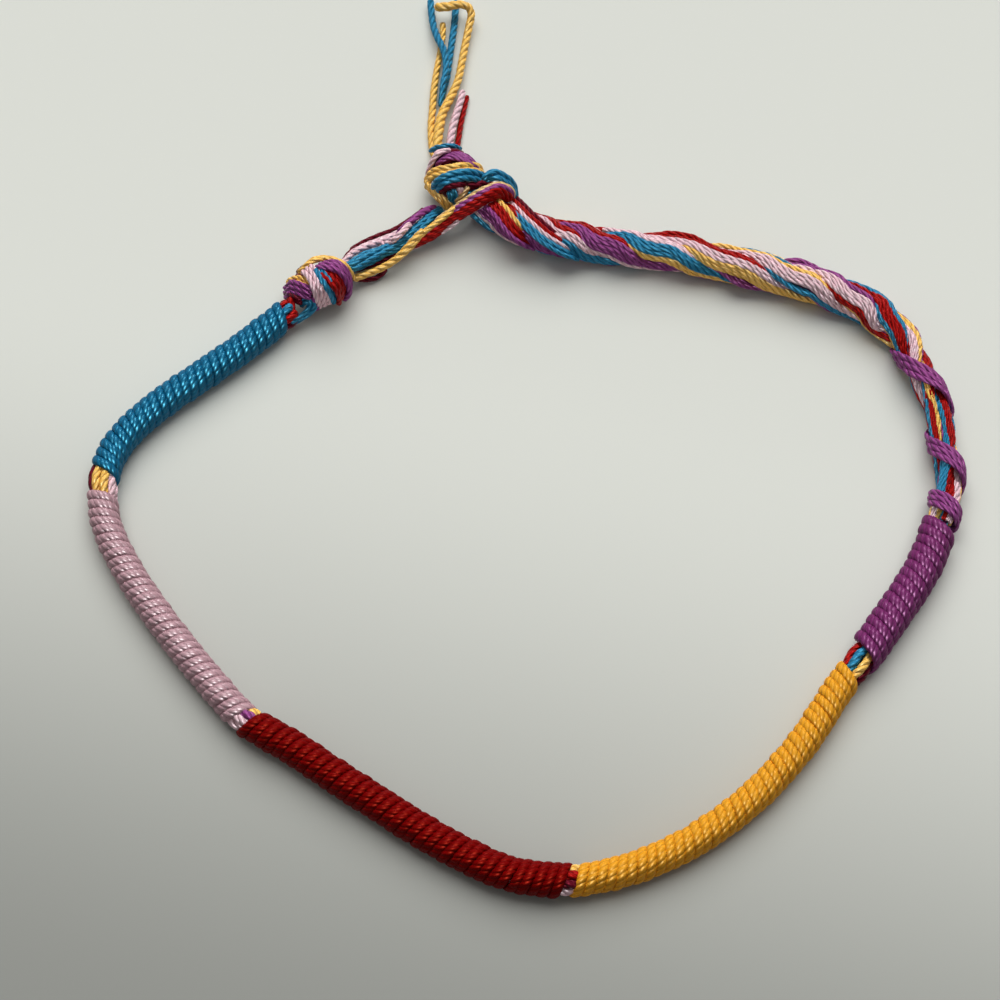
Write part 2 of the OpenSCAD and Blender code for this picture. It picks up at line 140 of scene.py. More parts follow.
def square_to(run, v):
    """Unit vectors square to the run, turned as little from v as can be."""
    return unit(v - np.sum(v * run, axis=-1, keepdims=True) * run)


def table(points, x):
    """Value at x, straight between the table's pairs."""
    p = np.asarray(points, float)
    return np.interp(x, p[:, 0], p[:, 1])


def smoothstep(x):
    x = np.clip(x, 0, 1)
    return x * x * (3 - 2 * x)


def wobble(x, wavelength, seed):
    """Slow uneven wave between about -1 and 1, the same at each run."""
    rng = np.random.default_rng(seed)
    waves = [np.sin(2 * math.pi * (x / (wavelength * f) + rng.random())) * g
             for f, g in ((1, 0.5), (0.57, 0.3), (0.31, 0.2))]
    return sum(waves)


def even(points, step):
    """The smooth curve through the points, at even steps."""
    n = len(points)
    fine = spline(points, np.linspace(0, n - 1, 40 * n))
    s = distances(fine[:, :3])
    count = max(4, int(s[-1] / step))
    at = np.linspace(0, s[-1], count + 1)
    return np.column_stack([np.interp(at, s, fine[:, k]) for k in range(fine.shape[1])])


# The cord from the end knot round to the tie knot, by the distance s along it

def wrap_starts():
    """Where each wrap begins, and where the last one ends."""
    starts, s = {}, TEAL_START
    for name, (length, _, gap) in WRAPS.items():
        starts[name] = s
        s += length + gap
    return starts, s


ROUTE_S = distances(spline(ROUTE, np.arange(ROUTE_STEPS * (len(ROUTE) - 1) + 1) / ROUTE_STEPS))
ROUTE_LEN = ROUTE_S[-1]
START, PURPLE_END = wrap_starts()


def strand_r(s):
    """Radius of one strand of the rope."""
    d = (ROPE_D / 2 - STRAND_GAP / math.sqrt(3)) / (1 / math.sqrt(3) + 0.5)
    return d / 2 * table(THINNING, s - PURPLE_END) * table(TIGHTENING, ROUTE_LEN - s)


def lay_r(s):
    """Distance of each strand's middle from the rope's middle."""
    return (2 * strand_r(s) + STRAND_GAP) / math.sqrt(3)


def rope_r(s):
    return lay_r(s) + strand_r(s)


def cord_heights():
    """Heights of the cord's middle, so that each stretch lies on the floor."""
    names = list(WRAPS)
    heights = [(START["teal"] + WRAPS["teal"][0], WRAPS["teal"][1] / 2)]
    for before, name in zip(names, names[1:]):
        heights.append((START[name] - WRAPS[before][2], WRAPS[before][1] / 2))
        heights.append((START[name], WRAPS[name][1] / 2))
    open_h = float(rope_r(PURPLE_END)) + STRAND_GAP + BAND_T
    return heights + [
        (PURPLE_END, WRAPS["purple"][1] / 2), (PURPLE_END + BARE_FROM, open_h),
        (PURPLE_END + OPEN_TO, open_h), (PURPLE_END + FULL_FROM, ROPE_D / 2),
        (ROUTE_LEN - NARROW_LEN, ROPE_D / 2), (ROUTE_LEN, float(rope_r(ROUTE_LEN)))]


HEIGHTS = cord_heights()


def route_at(s):
    """Points on the cord's middle, and its left there."""
    def flat(x):
        return spline(ROUTE, np.interp(x, ROUTE_S, np.arange(len(ROUTE_S)) / ROUTE_STEPS))
    reach = 0.3
    run = unit(flat(s + reach) - flat(s - reach))
    centre = np.column_stack([flat(s), table(HEIGHTS, s)])
    return centre, np.column_stack([-run[:, 1], run[:, 0], np.zeros(len(s))])


def round_cord(s, radius, angle):
    """Points round the cord, and their directions out of it.

    The angle is 0 on the left and a quarter turn on top.
    """
    centre, left = route_at(s)
    out = np.cos(angle)[:, None] * left + np.sin(angle)[:, None] * UP
    return centre + np.reshape(radius, (-1, 1)) * out, out


# Threads

PLIES = 3
# Length in which the plies turn once, and the depth of the valleys between them as a share of
# the thread's radius
PLY_LAY = 2.3
PLY_DEPTH = 0.14
# Length of a thread's rounded end, as a share of its thickness
END_LEN = 0.4
# Points round a thread, and the length of one step along it
SECTION = 12
LOOSE_STEP, WRAP_STEP, ROPE_STEP = 0.1, 0.12, 0.13


def ply_section(depth):
    """Angles of a section's points, and their shares of the radius."""
    a = np.arange(SECTION) * 2 * math.pi / SECTION
    return a, 1 - depth * (1 - np.abs(np.sin(a * PLIES / 2)))


def thread(path, out, width, thick, colour, start=0.0, depth=PLY_DEPTH, lay=PLY_LAY):
    """One plied thread along the path, as rings of points that turn with its plies."""
    path = np.asarray(path, float)
    n = len(path)
    run = unit(np.gradient(path, axis=0))
    out = square_to(run, np.broadcast_to(out, path.shape))
    side = np.cross(out, run)
    along = distances(path)
    width, thick = np.broadcast_to(width, n), np.broadcast_to(thick, n)
    # Round ends, with a small flat that closes the mesh
    nose = np.minimum(along, along[-1] - along) / (END_LEN * np.minimum(width, thick))
    closing = np.sqrt(np.clip(1 - (1 - np.clip(nose, 0, 1)) ** 2, 0.02, 1))
    a, r = ply_section(depth)
    turned = a[None] + (start + 2 * math.pi * along / lay)[:, None]
    across = (width / 2 * closing)[:, None] * r * np.cos(turned)
    up = (thick / 2 * closing)[:, None] * r * np.sin(turned)
    rings = path[:, None] + across[..., None] * side[:, None] + up[..., None] * out[:, None]
    return {"rings": rings, "turns": along / lay, "colour": colour}


def thread_mesh(name, threads, colours):
    """Closed threads in one mesh. Its UV map has the plies' turns and the place round a thread."""
    co, loops, totals, index, uv = [], [], [], [], []
    base = 0
    j = np.arange(SECTION)
    k = (j + 1) % SECTION
    for t in threads:
        n = len(t["rings"])
        co.append(t["rings"].reshape(-1, 3))
        i = np.arange(n - 1)[:, None] * SECTION
        quads = np.stack([i + j, i + k, i + SECTION + k, i + SECTION + j], axis=-1).reshape(-1, 4)
        loops += [(base + quads).ravel(), base + j[::-1], base + (n - 1) * SECTION + j]
        totals += [np.full(len(quads), 4), [SECTION, SECTION]]
        index.append(np.full(len(quads) + 2, colours.index(t["colour"])))
        u = t["turns"]
        v0 = np.broadcast_to(j / SECTION, (n - 1, SECTION))
        v1 = v0 + 1 / SECTION
        u0 = np.broadcast_to(u[:-1, None], v0.shape)
        u1 = np.broadcast_to(u[1:, None], v0.shape)
        uv.append(np.stack([u0, v0, u0, v1, u1, v1, u1, v0], axis=-1).reshape(-1, 2))
        uv.append(np.column_stack([np.full(SECTION, u[0]), j[::-1] / SECTION]))
        uv.append(np.column_stack([np.full(SECTION, u[-1]), j / SECTION]))
        base += n * SECTION
    co, loops, totals = np.concatenate(co) * MM, np.concatenate(loops), np.concatenate(totals)
    mesh = bpy.data.meshes.new(name)
    mesh.vertices.add(len(co))
    mesh.vertices.foreach_set("co", co.ravel())
    mesh.loops.add(len(loops))
    mesh.loops.foreach_set("vertex_index", loops.astype(np.int32))
    mesh.polygons.add(len(totals))
    mesh.polygons.foreach_set("loop_start", (np.cumsum(totals) - totals).astype(np.int32))
    mesh.polygons.foreach_set("material_index", np.concatenate(index).astype(np.int32))
    mesh.update(calc_edges=True)
    mesh.polygons.foreach_set("use_smooth", (totals == 4))
    mesh.uv_layers.new(name="Thread").uv.foreach_set("vector", np.concatenate(uv).ravel())
    mesh.validate()
    return mesh


def threads_object(name, threads, nodes):
    """One piece of threads, which stands for the solids named."""
    colours = sorted({t["colour"] for t in threads})
    mesh = thread_mesh(name, threads, colours)
    for colour in colours:
        mesh.materials.append(plied_cotton(colour))
    piece = bpy.data.objects.new(name, mesh)
    bpy.context.scene.collection.objects.link(piece)
    if nodes:
        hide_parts(*nodes)
    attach(piece, "root")
    return piece


# Materials

def linear(colour):
    """An sRGB hex colour in the renderer's linear values."""
    srgb = [int(colour[i:i + 2], 16) / 255 for i in (1, 3, 5)]
    return tuple(c / 12.92 if c <= 0.04045 else ((c + 0.055) / 1.055) ** 2.4 for c in srgb) + (1.0,)


def empty_tree(owner):
    """Node tree of a material or world, without the nodes that it starts with."""
    owner.use_nodes = True
    owner.node_tree.nodes.clear()
    return owner.node_tree


def add(tree, kind, settings=None, **inputs):
    """Adds a node with its settings, and sets or links its inputs by name or number."""
    node = tree.nodes.new("ShaderNode" + kind)
    for key, value in (settings or {}).items():
        setattr(node, key, value)
    for key, value in inputs.items():
        numbered = key[0] == "i" and key[1:].isdigit()
        socket = node.inputs[int(key[1:]) if numbered else key.replace("_", " ")]
        if isinstance(value, bpy.types.NodeSocket):
            tree.links.new(value, socket)
        else:
            socket.default_value = value
    return node


# Dyes of the threads: painted shade in the valleys between the plies, body colour, lighter
# streaks along the fibres (partly painted sheen), sheen, how far the plies stand out and how
# strong their painted shade is (less in the wraps, where the threads are pulled tight) and how
# glossy they are
DYES = {
    "teal": ("#003650", "#0a709e", "#68c0e2", "#68c0e2", 1.0, 0.45),
    "pink": ("#84525f", "#eabcc8", "#fffafc", "#fff2f6", 1.0, 0.45),
    "red": ("#3c0002", "#96080a", "#d0302a", "#d0302a", 1.0, 0.45),
    "yellow": ("#985208", "#fcc04c", "#fff0b4", "#ffe8a8", 1.0, 0.45),
    "purple": ("#30082b", "#86347c", "#c27ab4", "#c27ab4", 1.0, 0.45),
    "maroon": ("#1e0108", "#5c0c1e", "#8a2c3e", "#8a2c3e", 1.0, 0.45),
    "cream": ("#8c6034", "#e0b878", "#fbe2b4", "#fbe2b4", 1.0, 0.45),
    "wound teal": ("#00182a", "#005078", "#0a84b0", "#62cbee", 0.5, 0.8),
    "wound pink": ("#54303c", "#ae868f", "#e0bec8", "#fff0f4", 0.5, 0.55),
    "wound red": ("#1e0001", "#6a0002", "#960806", "#ff5038", 0.5, 0.16),
    "wound yellow": ("#783800", "#e49a18", "#fabc44", "#ffd888", 0.5, 0.3),
    "wound purple": ("#1c0218", "#681a58", "#94407f", "#e0a0d4", 0.5, 0.45),
}
# Streaks round a thread and in one turn of its plies
STREAKS_ROUND, STREAKS_A_TURN = 24.0, 5.0


def plied_cotton(dye):
    """Mercerised cotton: silky streaks along the fibres, partly painted sheen, and painted shade in
    the valleys between the plies.
    """
    name = "Mercerised cotton " + dye
    if name in bpy.data.materials:
        return bpy.data.materials[name]
    shade, body, streak_and_sheen, sheen = (linear(c) for c in DYES[dye][:4])
    relief_and_valley_shade, gloss = DYES[dye][4:]
    material = bpy.data.materials.new(name)
    tree = empty_tree(material)
    place = add(tree, "UVMap", {"uv_map": "Thread"})
    parts = add(tree, "SeparateXYZ", Vector=place.outputs["UV"])
    turns, v = parts.outputs["X"], parts.outputs["Y"]
    # Silky fibres lie along each ply; their noise gives bumps and streaks of partly painted sheen
    streak_v = add(tree, "Math", {"operation": "MULTIPLY"}, i0=v, i1=STREAKS_ROUND)
    streak_u = add(tree, "Math", {"operation": "MULTIPLY"}, i0=turns, i1=STREAKS_A_TURN)
    streak_at = add(tree, "CombineXYZ", X=streak_u.outputs[0], Y=streak_v.outputs[0])
    fibres = add(tree, "TexNoise", Vector=streak_at.outputs[0], Scale=1.0, Detail=3.0,
                 Roughness=0.6)
    streak_and_sheen_mask = add(tree, "MapRange", Value=fibres.outputs["Fac"], From_Min=0.42, From_Max=0.75,
               To_Max=0.6)
    # Each ply is round: 1 on its crest, 0 in the valley beside it
    ply = v
    for operation, amount in (("MULTIPLY", float(PLIES)), ("FRACT", 0.0), ("SUBTRACT", 0.5),
                              ("MULTIPLY", 2.0), ("POWER", 2.0)):
        ply = add(tree, "Math", {"operation": operation}, i0=ply, i1=amount).outputs[0]
    crest = add(tree, "Math", {"operation": "SUBTRACT"}, i0=1.0, i1=ply)
    # Painted shade: the colour darkens towards the valleys between the plies
    painted_valley_shade = add(tree, "MapRange", {"interpolation_type": "SMOOTHSTEP"}, Value=crest.outputs[0],
               From_Max=0.7, To_Min=0.6 * relief_and_valley_shade, To_Max=0.0)
    # Lighter streaks along the fibres, varying at random, are partly painted sheen
    colour = add(tree, "Mix", {"data_type": "RGBA"}, i0=streak_and_sheen_mask.outputs[0], i6=body, i7=streak_and_sheen)
    colour = add(tree, "Mix", {"data_type": "RGBA"}, i0=painted_valley_shade.outputs[0], i6=colour.outputs[2],
                 i7=shade)
    height = add(tree, "Math", {"operation": "MULTIPLY_ADD"}, i0=fibres.outputs["Fac"], i1=0.12,
                 i2=crest.outputs[0])
    bump = add(tree, "Bump", Height=height.outputs[0], Strength=1.0, Distance=0.08 * MM * relief_and_valley_shade)
    shader = add(tree, "BsdfPrincipled", Normal=bump.outputs[0], Roughness=0.4,
                 Base_Color=colour.outputs[2], Specular_IOR_Level=gloss, Specular_Tint=sheen)
    add(tree, "OutputMaterial", Surface=shader.outputs[0])
    return material


def matte_card(card_colour):
    """Pale card without gloss, with a painted shadow that darkens it towards the near left corner.
    """
    material = bpy.data.materials.new("Matte card")
    tree = empty_tree(material)
    place = add(tree, "TexCoord")
    parts = add(tree, "SeparateXYZ", Vector=place.outputs["Object"])
    away = add(tree, "Math", {"operation": "MULTIPLY_ADD"}, i0=parts.outputs["X"], i1=0.25,
               i2=parts.outputs["Y"])
    # Painted shadow: towards the near left corner the colour falls to 0.4 of the card's
    pale = add(tree, "MapRange", {"interpolation_type": "SMOOTHSTEP"}, Value=away.outputs[0],
               From_Min=-0.06, From_Max=0.002, To_Min=0.4)
    colour = add(tree, "Mix", {"data_type": "RGBA"}, i0=pale.outputs[0], i6=(0, 0, 0, 1),
                 i7=card_colour)
    shader = add(tree, "BsdfPrincipled", Base_Color=colour.outputs[2], Roughness=0.9,
                 Specular_IOR_Level=0.0)
    add(tree, "OutputMaterial", Surface=shader.outputs[0])
    return material


# Sizes that a user would change

class BraceletSettings(bpy.types.PropertyGroup):
    spacing: FloatProperty(
        name="Thread spacing", description="Width that one wound thread takes along a wrap",
        default=0.78 * MM, min=0.4 * MM, max=1.2 * MM, unit="LENGTH")
    rope_thread: FloatProperty(
        name="Rope thread", description="Thickness of one thread in the rope",
        default=0.46 * MM, min=0.3 * MM, max=0.7 * MM, unit="LENGTH")
    floor_colour: FloatVectorProperty(
        name="Floor", description="Colour of the matte floor", subtype="COLOR",
        size=4, default=linear("#d9dcd6"), min=0, max=1)


# Wraps: three threads wound side by side

WRAP_THREADS = 3
# Thickness of a wound thread, the length in which its plies turn once and how deep they are
WRAP_T = 0.5
WRAP_LAY = 1.45
WRAP_PLY_DEPTH = 0.07
# Part of a turn in which the threads come out of the wrap or go back in
WRAP_DIVE = 0.1
# Angles round the cord where each wrap's threads come out and go in again
WRAP_SEAMS = {"teal": (270, -90), "pink": (265, -90), "red": (270, -80), "yellow": (205, -90),
              "purple": (280, -60)}


def wrap_threads(name, spacing):
    length, d, _ = WRAPS[name]
    # Whole turns of the three threads, so that both ends slant alike
    pitch = length / round(length / (WRAP_THREADS * spacing))
    width = pitch / WRAP_THREADS
    first, last = WRAP_SEAMS[name]
    begin = START[name] + pitch * (90 - first) / 360
    turns = round(length / pitch) - 1 + (first - last) / 360
    radius = d / 2 - WRAP_T / 2
    seed = list(WRAPS).index(name) * 10
    n = int((turns + 2 * WRAP_DIVE) * 2 * math.pi * radius / WRAP_STEP)
    t = np.linspace(-WRAP_DIVE, turns + WRAP_DIVE, n)
    tuck = smoothstep(-t / WRAP_DIVE) + smoothstep((t - turns) / WRAP_DIVE)
    made = []
    for k in range(WRAP_THREADS):
        s = begin + (k + 0.5) * width + pitch * t + 0.05 * wobble(t, 1.9, seed + k)
        r = radius - 0.5 * tuck + 0.06 * wobble(t, 0.9, seed + 5 + k)
        path, out = round_cord(s, r, np.radians(first - 360 * t))
        w = width * (1.12 + 0.06 * wobble(t, 1.7, seed + 7 + k))
        made.append(thread(path, out, w, WRAP_T, "wound " + name, start=k * 1.3,
                           depth=WRAP_PLY_DEPTH, lay=WRAP_LAY))
    return made


class BRACELET_OT_wraps(bpy.types.Operator):
    """Winds the five coloured wraps"""
    bl_idname = "bracelet.wraps"
    bl_label = "Wraps"

    def execute(self, context):
        spacing = context.scene.bracelet.spacing / MM
        for name in WRAPS:
            threads_object("thread_wrap_" + name, wrap_threads(name, spacing), ["wrap_" + name])
        return {"FINISHED"}


# Core: eight threads inside the wraps

LETTERS = {"T": "teal", "K": "pink", "R": "red", "Y": "yellow", "P": "purple", "M": "maroon",
           "C": "cream"}
CORE_THREADS = 8
# Inside the wraps: width of a thread, its distance from the cord's middle and the length of one
# step along it
CORE_THREAD, CORE_R, CORE_STEP = 0.56, 0.48, 0.8
# In the gaps: how much further out a thread lies, and how much wider it is as a share
GAP_OUT, GAP_WIDER = 0.44, 0.3
# How far inside the end knot the first gap begins
GAP_BEFORE = 0.6
# Angle of the first thread, on the right side of the cord
CORE_RIGHT = 168
# Threads that show before the teal wrap and in the gap after each wrap, from the cord's right
# side over its top to its left
CORE_AT_GAPS = {
    "start": "MRTRMKTR", "teal": "MYYKKTPR", "pink": "KKPYTRMT", "red": "KMRYTPKY",
    "yellow": "MYTRKPTR",
}


def core_threads(spacing):
    """Threads that are thin inside the wraps and fill out in the gaps."""
    gaps = {"start": (-GAP_BEFORE, START["teal"])}
    cuts = [0.0]
    for name in list(CORE_AT_GAPS)[1:]:
        end = START[name] + WRAPS[name][0]
        gaps[name] = (end, end + WRAPS[name][2])
        cuts.append(START[name] + WRAPS[name][0] / 2)
    cuts.append(PURPLE_END)
    # Long steps inside the wraps and short ones near the gaps, none of them tiny
    s = [np.arange(0, PURPLE_END, CORE_STEP)]
    s += [np.arange(a - 2, b + 2, WRAP_STEP) for a, b in gaps.values()]
    s = np.unique(np.clip(np.round(np.concatenate(s), 3), 0, PURPLE_END))
    s = s[np.concatenate([[True], np.diff(s) > 0.05])]
    made = []
    for k in range(CORE_THREADS):
        angle = CORE_RIGHT - 360 / CORE_THREADS * k
        # The ends of the wraps slant
        slant = WRAP_THREADS * spacing * (90 - angle) / 360
        bulge = np.zeros(len(s))
        for a, b in gaps.values():
            # A thread begins to swell a little before the gap
            inside = np.clip((s - slant - a + 0.25) / (b - a + 0.5), 0, 1)
            bulge += np.sqrt(np.sin(math.pi * inside))
        turn = math.radians(angle) + 0.12 * wobble(s, 5.0, k)
        path, out = round_cord(s, CORE_R + GAP_OUT * bulge, turn)
        width = CORE_THREAD * (1 + GAP_WIDER * bulge)
        for letters, a, b in zip(CORE_AT_GAPS.values(), cuts, cuts[1:]):
            part = (s >= a) & (s <= b)
            made.append(thread(path[part], out[part], width[part], 0.85 * width[part],
                               LETTERS[letters[k]], start=k))
    return made


class BRACELET_OT_core(bpy.types.Operator):
    """Lays the core threads that show between the wraps"""
    bl_idname = "bracelet.core"
    bl_label = "Core"

    def execute(self, context):
        spacing = context.scene.bracelet.spacing / MM
        threads_object("thread_core", core_threads(spacing), ["core"])
        return {"FINISHED"}


# Rope: three strands of fourteen threads, and the purple turns over its first stretch

ROPE_THREADS = 14
# Strand: its place in the lay in degrees and, for distances past the purple wrap where the strand
# crosses the side that the camera sees, its threads by letter from the top edge on
ROPE_STRANDS = {
    "a": (0, {9.0: "TYYRRTTRKKKPPP", 14.5: "TRRRYYTPPPKKKT", 22.6: "PPKKKRRYYTTTRP",
              39.5: "KKTTTYYPPPRRRK", 50.8: "YRRRPPPTTTKKKY"}),
    "b": (120, {3.5: "YKKKRRTTPPPPTY", 15.4: "PYYKKKRTTTPPPR", 27.5: "TYKKKTTPPPPRRY",
                44.0: "RRPPPPKKTTTYYK"}),
    "c": (240, {0.8: "RTYYKKYRRTTTPP", 3.5: "RRRTTTTPPYYYKK", 9.5: "TRRRTTPPYYYKKT",
                18.4: "TTRRRTTYYYKKPP", 33.6: "RRKKYYYPPTTTTR", 47.7: "RRKKTTTPPYYYRT"}),
}
# Threads that hang out of a strand: letter and number among the strand's threads of it, with
# the distance past the purple wrap, half the length and how far up
LOOPS = {"a": {"P0": (27.8, 2.0, 0.3), "P1": (23.0, 2.0, -0.35)},
         "b": {"T0": (27.2, 2.6, -0.3), "T1": (27.2, 2.6, -0.35)},
         "c": {"P0": (32.2, 2.6, -0.7), "P1": (32.4, 2.4, -0.5), "R0": (38.0, 2.6, 0.35)}}
# How far out a strand lies, its half width and its half height, as shares of the solid's: in
# the bare stretch, and what the full rope has more
LAY_OUT, HALF_WIDTH, HALF_HEIGHT = (0.93, 0.1), (1.32, 0.2), (1.32, -0.16)
# Distance past the purple wrap where the full rope's shape begins, and the length that it takes
FULL_SHAPE_FROM, FULL_SHAPE_IN = 16, 5
# How much of the lay is gathered where a strand gives way to the next (under a third)
GATHERED = 0.27
# How far from its mark an order of threads holds, as a share of the way to the next mark, and
# the way that stands for it past the first and the last
ORDER_HOLDS, LAST_WAY = 0.3, 8
# Threads of the open turns, and the thickness of one
OPEN_THREADS, OPEN_T = 3, 0.42


def strand_of_threads(middle, half_width, half_height, outward, thickness, step, threads,
                      loops=None):
    """Threads round a strand that is an oval, whose half height is along the outward direction.

    Each thread has its letter and its slot: slot 2 faces the camera, and the next is a step of
    so many degrees from it. Loops says how far up a thread hangs out, by its number.
    """
    run = unit(np.gradient(middle, axis=0))
    face = square_to(run, TO_CAMERA)
    top = np.cross(run, face)
    high = square_to(run, outward)
    wide = np.cross(run, high)
    along = distances(middle)
    made = []
    for n, (letter, slot) in enumerate(threads):
        a = np.broadcast_to((2 - slot) * math.radians(step), along.shape)
        toward = np.cos(a)[:, None] * face + np.sin(a)[:, None] * top
        sway = 0.06 * wobble(along, 3.4, 40 + n) - thickness / 2
        away = ((half_height + sway) * np.sum(toward * high, axis=1))[:, None] * high
        away = away + ((half_width + sway) * np.sum(toward * wide, axis=1))[:, None] * wide
        if loops and n in loops:
            away = away + loops[n][:, None] * top
        made.append(thread(middle + away, unit(away), thickness * 1.06, thickness * 0.94,
                           LETTERS[letter], start=n))
    return made


def thread_slots(orders, past):
    """Slots of a strand's threads along it, by letter and number.

    A thread changes its slot on the side away from the camera, the short way round.
    """
    marks = list(orders)
    knots, places = [], []
    for i, at in enumerate(marks):
        before = marks[i - 1] if i else at - LAST_WAY
        after = marks[i + 1] if i + 1 < len(marks) else at + LAST_WAY
        knots += [at - ORDER_HOLDS * (at - before), at + ORDER_HOLDS * (after - at)]
        places += [orders[at], orders[at]]
    slots = {}
    for letter in sorted(set(places[0])):
        for k in range(places[0].count(letter)):
            turned = []
            for order in places:
                slot = [j for j, c in enumerate(order) if c == letter][k]
                if turned:
                    slot += ROPE_THREADS * round((turned[-1] - slot) / ROPE_THREADS)
                turned.append(slot)
            slots[f"{letter}{k}"] = np.interp(past, knots, turned)
    return slots


def rope_threads(strand, thickness):
    phase, orders = ROPE_STRANDS[strand]
    s = np.linspace(PURPLE_END + BARE_FROM, ROUTE_LEN, int((ROUTE_LEN - PURPLE_END) / ROPE_STEP))
    past = s - PURPLE_END
    lay = spline(LAY, np.linspace(0, len(LAY) - 1, 4 * len(LAY) - 3))
    angle = 2 * math.pi * np.interp(past, lay[:, 0], lay[:, 1]) - math.radians(phase)
    full = smoothstep((past - FULL_SHAPE_FROM) / FULL_SHAPE_IN)
    # A strand lies flat on the side that is seen, and gives way to the next in a short length
    seen = np.arctan2(TO_CAMERA[2], route_at(s)[1] @ TO_CAMERA)
    angle = angle - GATHERED * full * np.sin(3 * (angle - seen))
    out, wide, high = (share + more * full for share, more in (LAY_OUT, HALF_WIDTH, HALF_HEIGHT))
    middle, outward = round_cord(s, lay_r(s) * out, angle)
    threads, loops = [], {}
    for n, (name, slots) in enumerate(thread_slots(orders, past).items()):
        threads.append((name[0], slots + 0.28 * wobble(past, 5.0, n) - 1))
        if name in LOOPS[strand]:
            at, half, up = LOOPS[strand][name]
            loops[n] = up * smoothstep(1 - np.abs(past - at) / half)
    return strand_of_threads(middle, strand_r(s) * wide, strand_r(s) * high, outward,
                             np.minimum(thickness, 0.75 * strand_r(s)), 360 / ROPE_THREADS,
                             threads, loops)


def open_turn_threads():
    """Three purple threads side by side, wound over the bare strands against their lay."""
    turns = spline(OPEN_TURNS, np.linspace(0, len(OPEN_TURNS) - 1, 400))
    s = PURPLE_END + turns[:, 0]
    angle = math.pi / 2 - 2 * math.pi * turns[:, 1]
    path, out = round_cord(s, rope_r(s) + STRAND_GAP + 0.04, angle)
    path = even(np.column_stack([path, out])[::4], WRAP_STEP)
    path, out = path[:, :3], unit(path[:, 3:])
    side = np.cross(out, unit(np.gradient(path, axis=0)))
    w = BAND_W / OPEN_THREADS
    made = []
    for k in range(OPEN_THREADS):
        sway = 0.05 * wobble(distances(path), 4.0, k)
        across = w * (k - 1) + sway
        # The middle thread lies a little higher
        lift = 0.05 * (k == 1) + 0.6 * sway
        centre = path + side * across[:, None] + out * lift[:, None]
        made.append(thread(centre, out, w * 1.25, OPEN_T, "purple", start=k * 2.0))
    return made


class BRACELET_OT_rope(bpy.types.Operator):
    """Lays the three strands of the rope and the open purple turns"""
    bl_idname = "bracelet.rope"
    bl_label = "Rope"

    def execute(self, context):
        thickness = context.scene.bracelet.rope_thread / MM
        for strand in ROPE_STRANDS:
            threads_object("thread_rope_" + strand, rope_threads(strand, thickness),
                           ["rope_strand_" + strand])
        threads_object("thread_open_turns", open_turn_threads(), ["open_turns"])
        return {"FINISHED"}


# Knots: a fill under turns of side-by-side threads, each turn a route with its dyes and the
# width that one thread takes

END_KNOT_MIDDLE = (-17, 10.9, 1.8)
END_KNOT_FILL = [(-19, 10.7, 1.6), (-17.5, 11.1, 1.8), (-15.6, 11.4, 1.9), (-14.6, 11.1, 1.7)]
END_KNOT_TURNS = [
    ([(-18.5, 12.1, 2.4), (-18, 12.3, 3), (-17.4, 12.6, 3.4), (-16.5, 12.9, 3.3),
      (-15.6, 12.8, 3.2), (-14.8, 12.5, 2.9), (-14.4, 12.3, 2.2), (-14.2, 12.2, 1.4)],
     ("yellow", "yellow"), 0.46),
    ([(-16.9, 12.1, 3.5), (-16, 11.9, 4), (-15.2, 11.7, 3.9), (-14.7, 11.4, 3.4),
      (-14.4, 11.1, 2.6), (-14.4, 10.9, 1.7), (-14.9, 10.7, 0.9)], ("purple", "purple", "purple"),
     0.5),
    ([(-16.4, 11.3, 4), (-15.8, 10.7, 4), (-15.3, 10.3, 3.6), (-15, 10.1, 2.6),
      (-15.1, 10.2, 1.2)], ("red", "red", "red"), 0.45),
    ([(-16.9, 11.6, 3.9), (-16.4, 10.7, 4.1), (-16, 10, 3.9), (-15.7, 9.8, 3), (-15.5, 9.9, 1.6)],
     ("teal", "teal"), 0.5),
    ([(-17.9, 11.9, 3.4), (-17.4, 11.2, 3.9), (-17, 10.4, 4.1), (-16.7, 9.6, 3.8),
      (-16.5, 9.3, 2.8), (-16.4, 9.5, 1.4)], ("pink", "pink", "pink"), 0.42),
    ([(-18.7, 12.1, 2), (-18.2, 12.3, 2.6), (-18, 11.5, 2.9)], ("maroon",), 0.6),
    ([(-19.6, 11.5, 1.3), (-19.4, 11.4, 1.9), (-18.9, 11.2, 2.6), (-18.3, 10.9, 3.1),
      (-17.7, 10.4, 3.4), (-17.4, 10.1, 3.4)], ("yellow", "yellow"), 0.42),
    ([(-19.8, 10.8, 1.2), (-19.5, 10.7, 1.8), (-19.2, 10.7, 2.4), (-18.5, 10.2, 3),
      (-17.9, 9.8, 3.2), (-17.3, 9.6, 3.2)], ("purple", "purple", "purple"), 0.4),
    ([(-19.7, 10.6, 0.9), (-19.3, 10.2, 1.8), (-18.7, 9.6, 2.3), (-18.2, 9.3, 2.5)],
     ("maroon", "maroon"), 0.42),
    ([(-17.3, 9.5, 3), (-17, 9.3, 2.2), (-17.2, 9.3, 1.2)], ("purple",), 0.6),
    ([(-19.3, 9.9, 2), (-19.1, 9.2, 2), (-19.1, 8.7, 1.7), (-19.3, 8.3, 1.4)], ("red",), 0.62),
    ([(-18.5, 9.6, 1.5), (-18.2, 9.5, 2.2), (-17.7, 9.5, 2.5), (-17.4, 9.2, 2.3), (-17.5, 9, 1.8),
      (-17.9, 8.7, 1.5), (-18.5, 8.3, 1.3), (-19.2, 7.9, 1.2)], ("teal", "teal"), 0.42),
]
TIE_KNOT_MIDDLE = (-6, 21.5, 1.8)
TIE_KNOT_FILL = [(-6.2, 24.2, 1.4), (-6.1, 22, 1.8), (-6, 19.7, 1.7)]
